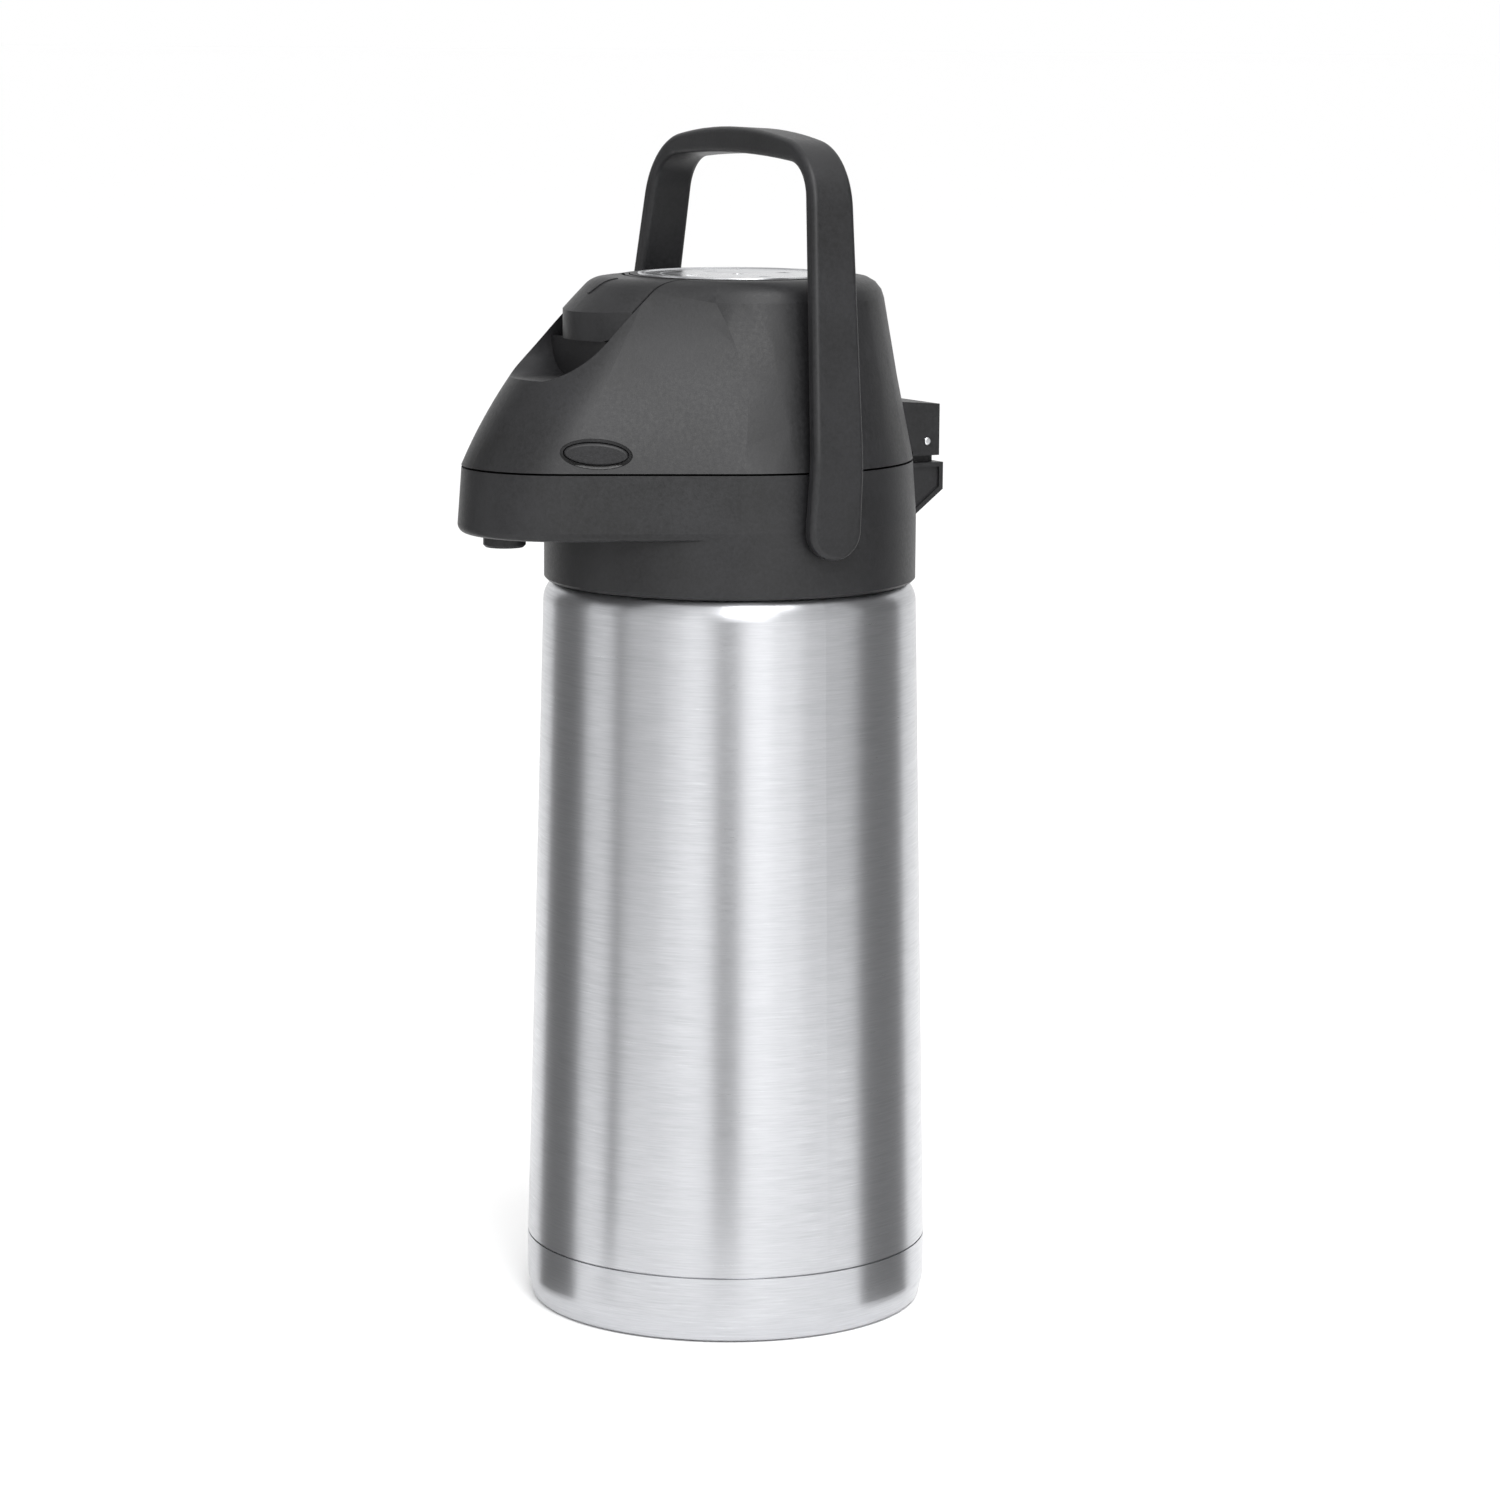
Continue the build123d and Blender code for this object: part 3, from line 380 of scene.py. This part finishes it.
def makeBellows(size):
    # blown silicone bellows with rounded folds, standing on the lid plate inside the cap
    low, high = (Vector(corner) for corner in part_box("bellows"))
    middle = (low + high) / 2
    outer = (high.x - low.x) / 2 - 0.0003
    root = outer * size["rootRatio"]
    ringStep = (high.z - low.z - size["foot"]) / (2 * size["folds"])
    deselectAll()
    bpy.ops.mesh.primitive_circle_add(
        vertices=size["around"], radius=root, fill_type="NOTHING", location=(middle.x, middle.y, low.z))
    bellows = bpy.context.object
    editAll()
    bpy.ops.mesh.extrude_region_move(TRANSFORM_OT_translate={"value": (0, 0, size["foot"])})
    for ringNumber in range(2 * size["folds"]):
        ratio = outer / root if ringNumber % 2 == 0 else root / outer
        bpy.ops.mesh.extrude_region_move(TRANSFORM_OT_translate={"value": (0, 0, ringStep)})
        bpy.ops.transform.resize(value=(ratio, ratio, 1), center_override=(middle.x, middle.y, low.z))
    bpy.ops.mesh.select_all(action="SELECT")
    bpy.ops.mesh.normals_make_consistent(inside=False)
    bpy.ops.object.mode_set(mode="OBJECT")
    applyModifier(bellows, "SUBSURF", {"levels": size["soften"], "render_levels": size["soften"]})
    applyModifier(bellows, "SOLIDIFY", {"thickness": size["wall"], "offset": -1.0})
    finishPiece(bellows, "foldedBellows", "lid", "seal_rubber", ["bellows"], 60)
    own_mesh(bellows)
    return bellows


springShape = {"wire": 0.0014, "turns": 9, "steps": 40, "round": 12}


def makeReturnSpring(size):
    # coil spring wound from drawn steel wire, cut square at both ends
    low, high = (Vector(corner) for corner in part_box("return_spring"))
    wireR = size["wire"] / 2
    coilR = (high.x - low.x) / 2 - wireR
    deselectAll()
    bpy.ops.mesh.primitive_circle_add(
        vertices=size["round"], radius=wireR, fill_type="NOTHING", location=(coilR, 0, low.z + wireR),
        rotation=(math.pi / 2, 0, 0))
    spring = bpy.context.object
    bpy.ops.object.transform_apply(location=True, rotation=True, scale=True)
    rise = high.z - low.z - size["wire"]
    applyModifier(spring, "SCREW", {
        "angle": 2 * math.pi, "screw_offset": rise / size["turns"], "iterations": size["turns"],
        "steps": size["steps"], "render_steps": size["steps"], "axis": "Z", "use_merge_vertices": False})
    editAll()
    bpy.ops.mesh.fill_holes(sides=0)
    bpy.ops.object.mode_set(mode="OBJECT")
    finishPiece(spring, "returnCoil", "lid", "pin_steel", ["return_spring"], 50)
    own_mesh(spring)
    return spring


lidScrew = {
    "headR": 0.003, "headH": 0.0014, "shankR": 0.0015, "frontStep": 0.003, "slotWide": 0.0008,
    "slotLong": 0.0034, "slotDeep": 0.0009, "edge": 0.0003,
}


def makeLidScrews(size):
    # four pan-head screws with a cross recess, heads down in the lid plate
    low, high = (Vector(corner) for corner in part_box("lid_screws"))
    rearX = high.x - size["headR"]
    rearY = high.y - size["headR"]
    frontY = low.y + size["headR"]
    deselectAll()
    headMiddle = low.z + size["headH"] / 2
    bpy.ops.mesh.primitive_cylinder_add(
        vertices=32, radius=size["headR"], depth=size["headH"], location=(0, 0, headMiddle))
    screw = bpy.context.object
    bpy.ops.object.transform_apply(location=True, rotation=True, scale=True)
    pickFaces(screw, lambda face: face.normal.z > 0.9)
    bpy.ops.mesh.inset(thickness=size["headR"] - size["shankR"])
    bpy.ops.mesh.extrude_region_move(
        TRANSFORM_OT_translate={"value": (0, 0, high.z - low.z - size["headH"] - 0.0006)})
    bpy.ops.mesh.extrude_region_move(TRANSFORM_OT_translate={"value": (0, 0, 0.0006)})
    bpy.ops.transform.resize(value=(0.55, 0.55, 1), center_override=(0, 0, high.z))
    bpy.ops.object.mode_set(mode="OBJECT")
    for turn in (0, math.pi / 2):
        deselectAll()
        bpy.ops.mesh.primitive_cube_add(size=1, location=(0, 0, low.z), rotation=(0, 0, turn))
        cutter = bpy.context.object
        cutter.scale = (size["slotLong"], size["slotWide"], 2 * size["slotDeep"])
        useOnly(screw)
        applyModifier(screw, "BOOLEAN", {"operation": "DIFFERENCE", "solver": "EXACT", "object": cutter})
        bpy.data.objects.remove(cutter)
    applyModifier(screw, "BEVEL", {
        "width": size["edge"], "segments": 2, "limit_method": "ANGLE", "angle_limit": math.radians(70)})
    places = [(rearX, rearY), (-rearX, rearY), (rearX - size["frontStep"], frontY),
              (size["frontStep"] - rearX, frontY)]
    copies = []
    for x, y in places:
        useOnly(screw)
        bpy.ops.object.duplicate(linked=False)
        twin = bpy.context.object
        twin.location = (x, y, 0)
        bpy.ops.object.transform_apply(location=True, rotation=True, scale=True)
        copies.append(twin)
    bpy.data.objects.remove(screw)
    deselectAll()
    for twin in copies:
        twin.select_set(True)
    bpy.context.view_layer.objects.active = copies[0]
    bpy.ops.object.join()
    return finishPiece(copies[0], "crossScrews", "lid", "pin_steel", ["lid_screws"])


hingePin = {"endRound": 0.0007, "segments": 4}


def makeHingePin(size):
    # ground steel rod with rounded ends, driven through the lid's cheeks
    low, high = (Vector(corner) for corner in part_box("hinge_pin"))
    middle = (low + high) / 2
    deselectAll()
    bpy.ops.mesh.primitive_cylinder_add(
        vertices=48, radius=(high.z - low.z) / 2, depth=high.x - low.x, location=middle,
        rotation=(0, math.pi / 2, 0))
    pin = bpy.context.object
    bpy.ops.object.transform_apply(location=True, rotation=True, scale=True)
    applyModifier(pin, "BEVEL", {
        "width": size["endRound"], "segments": size["segments"], "limit_method": "ANGLE",
        "angle_limit": math.radians(60)})
    return finishPiece(pin, "hingePin", "vessel", "pin_steel", ["hinge_pin"])


footPlate = {"edge": 0.003, "sink": 0.0007, "ringWidth": 0.002, "ringGap": 0.011, "rings": 4, "bevel": 0.0003}


def makeFootPlate(size):
    # moulded turning base: raised rings on the underside that it stands on
    low, high = (Vector(corner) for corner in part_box("base_plate"))
    middle = (low + high) / 2
    radius = (high.x - low.x) / 2
    deselectAll()
    bpy.ops.mesh.primitive_cylinder_add(vertices=128, radius=radius, depth=high.z - low.z, location=middle)
    foot = bpy.context.object
    bpy.ops.object.transform_apply(location=True, rotation=True, scale=True)
    pickFaces(foot, lambda face: face.normal.z < -0.9)
    bpy.ops.mesh.inset(thickness=size["edge"])
    for ringNumber in range(size["rings"]):
        bpy.ops.mesh.extrude_region_move(TRANSFORM_OT_translate={"value": (0, 0, size["sink"])})
        bpy.ops.mesh.inset(thickness=size["ringGap"])
        bpy.ops.mesh.extrude_region_move(TRANSFORM_OT_translate={"value": (0, 0, -size["sink"])})
        bpy.ops.mesh.inset(thickness=size["ringWidth"])
    bpy.ops.object.mode_set(mode="OBJECT")
    applyModifier(foot, "BEVEL", {
        "width": size["bevel"], "segments": 2, "limit_method": "ANGLE", "angle_limit": math.radians(50)})
    return finishPiece(foot, "footPlate", "vessel", slotOfNode["base_plate"], ["base_plate"])


makePressPlate(pressPlate)
makeTabMark(tabMark)
makeBellows(bellowsShape)
makeReturnSpring(springShape)
makeLidScrews(lidScrew)
makeHingePin(hingePin)
makeFootPlate(footPlate)


# ---- stage, lights and camera ----

stage = {"floorHalf": 60.0, "colour": "#ffffff"}


def makeStage():
    # one very wide sheet of white paper, so wide that no far edge shows
    bpy.ops.object.select_all(action="DESELECT")
    bpy.ops.mesh.primitive_plane_add(size=2 * stage["floorHalf"], location=(0, 0, 0))
    floor = bpy.context.object
    floor.name = "studioFloor"
    bpy.ops.object.transform_apply(location=True, rotation=True, scale=True)
    material, tree, shader, place = newMaterial("matteStudioPaper")
    shader.inputs["Base Color"].default_value = linearColour(stage["colour"])
    shader.inputs["Roughness"].default_value = 0.9
    shader.inputs["Specular IOR Level"].default_value = 0.1
    floor.data.materials.append(material)


makeStage()

camera = {
    "distance": 1.584, "azimuth": 60.0, "height": 0.4493, "lens": 110.4,
    "pitch": 9.16, "yaw": 0.27, "roll": 0.39,
}


def makeCamera():
    turn = math.radians(camera["azimuth"])
    spot = Vector((math.sin(turn), -math.cos(turn), 0)) * camera["distance"]
    spot.z = camera["height"]
    ahead = Vector((-math.sin(turn), math.cos(turn), 0))
    ahead.rotate(Matrix.Rotation(-math.radians(camera["yaw"]), 3, "Z"))
    side = ahead.cross(Vector((0, 0, 1)))
    ahead.rotate(Matrix.Rotation(-math.radians(camera["pitch"]), 3, side))
    up = side.cross(ahead)
    up.rotate(Matrix.Rotation(-math.radians(camera["roll"]), 3, ahead))
    side = ahead.cross(up)
    bpy.ops.object.camera_add()
    cam = bpy.context.object
    cam.name = "studioCamera"
    cam.data.lens = camera["lens"]
    cam.data.sensor_width = 36.0
    cam.data.clip_end = 50.0
    place = Matrix((side, up, -ahead)).transposed().to_4x4()
    cam.matrix_world = Matrix.Translation(spot) @ place
    bpy.context.scene.camera = cam


makeCamera()

# Softboxes: angle round the airpot from the camera (minus is to the left), glow is their brightness
softboxes = [
    {"name": "leftStrip", "angle": -21, "height": 0.6, "distance": 2.1, "wide": 0.48, "tall": 2.4, "glow": 0.6},
    {"name": "rightStrip", "angle": 22, "height": 0.6, "distance": 2.1, "wide": 0.30, "tall": 2.4, "glow": 0.6},
    {"name": "rightFill", "angle": 42, "height": 0.7, "distance": 2.2, "wide": 0.9, "tall": 2.2, "glow": 0.15},
    {"name": "top", "angle": 30, "height": 2.0, "distance": 0.95, "wide": 1.1, "tall": 0.8, "glow": 7.0},
    {"name": "key", "angle": 10, "height": 1.25, "distance": 1.7, "wide": 0.8, "tall": 0.6, "glow": 12.0},
]

# cards that give the steel its darker upright bands, out of the camera's sight
greyCards = [
    {"name": "leftCard", "angle": -117, "distance": 2.4, "wide": 1.65, "tall": 2.6, "near": 0.02, "paper": "#6a6a6a"},
    {"name": "leftThinCard", "angle": -70, "distance": 2.4, "wide": 0.34, "tall": 2.6, "near": 0.10, "paper": "#686868"},
    {"name": "leftPaleCard", "angle": -52, "distance": 2.5, "wide": 1.1, "tall": 2.6, "near": 0.6, "paper": "#d0d0d0"},
    {"name": "middleCard", "angle": 0, "distance": 2.4, "wide": 0.66, "tall": 2.6, "near": 0.15, "paper": "#727272"},
    {"name": "rightPaleCard", "angle": 64, "distance": 2.5, "wide": 1.7, "tall": 2.6, "near": 0.6, "paper": "#cccccc"},
    {"name": "rightCard", "angle": 107, "distance": 2.4, "wide": 1.85, "tall": 2.6, "near": 0.02, "paper": "#707070"},
]


def aroundCamera(angle, distance, height):
    turn = math.radians(camera["azimuth"] + angle)
    return Vector((math.sin(turn) * distance, -math.cos(turn) * distance, height))


def makeSoftbox(box):
    spot = aroundCamera(box["angle"], box["distance"], box["height"])
    bpy.ops.object.light_add(type="AREA", location=spot)
    light = bpy.context.object
    light.name = box["name"] + "Softbox"
    light.data.shape = "RECTANGLE"
    light.data.size = box["wide"]
    light.data.size_y = box["tall"]
    light.data.energy = math.pi * box["wide"] * box["tall"] * box["glow"]
    light.rotation_euler = (Vector((0, 0, 0.25)) - spot).to_track_quat("-Z", "Y").to_euler()


cardLift = 0.0012                       # height of the flat cards above the floor


def hideCard(sheet, material):
    # only glossy surfaces see a card: it throws no shadow and isn't in the picture
    sheet.data.materials.append(material)
    sheet.visible_camera = False
    sheet.visible_shadow = False
    sheet.visible_diffuse = False


def makeCard(card):
    spot = aroundCamera(card["angle"], card["distance"], card["tall"] / 2 + 0.02)
    material, tree, shader, place = newMaterial(card["name"] + "Paper")
    shader.inputs["Base Color"].default_value = linearColour(card["paper"])
    shader.inputs["Roughness"].default_value = 0.9
    bpy.ops.object.select_all(action="DESELECT")
    bpy.ops.mesh.primitive_plane_add(size=1.0, location=spot)
    sheet = bpy.context.object
    sheet.name = card["name"]
    sheet.scale = (card["wide"], card["tall"], 1.0)
    level = Vector((-spot.x, -spot.y, 0))
    sheet.rotation_euler = level.to_track_quat("-Z", "Y").to_euler()
    bpy.ops.object.transform_apply(location=True, rotation=True, scale=True)
    hideCard(sheet, material)
    makeFloorCard(card, material)


def makeFloorCard(card, material):
    # flat card whose edges run straight out from the body, where a round body mirrors the upright card's edges
    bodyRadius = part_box("base_cup")[1][0]
    halfAngle = math.degrees(math.asin(card["wide"] / 2 / card["distance"]))
    deselectAll()
    bpy.ops.mesh.primitive_plane_add(size=1.0, location=(0, 0, 0))
    flat = bpy.context.object
    flat.name = card["name"] + "OnFloor"
    for vertex in flat.data.vertices:
        mirrored = card["angle"] + math.copysign(halfAngle, vertex.co.x)
        run = card["near"] if vertex.co.y < 0 else card["distance"]
        vertex.co = aroundCamera(mirrored / 2, bodyRadius, cardLift) + aroundCamera(mirrored, run, 0)
    hideCard(flat, material)


for box in softboxes:
    makeSoftbox(box)
for card in greyCards:
    makeCard(card)

room = {"colour": "#ffffff", "strength": 1.0}
world = bpy.data.worlds.new("studioRoom")
world.use_nodes = True
background = world.node_tree.nodes["Background"]
background.inputs["Color"].default_value = linearColour(room["colour"])
background.inputs["Strength"].default_value = room["strength"]
bpy.context.scene.world = world
bpy.context.scene.view_settings.view_transform = "Standard"
print("stage, lights and camera made")
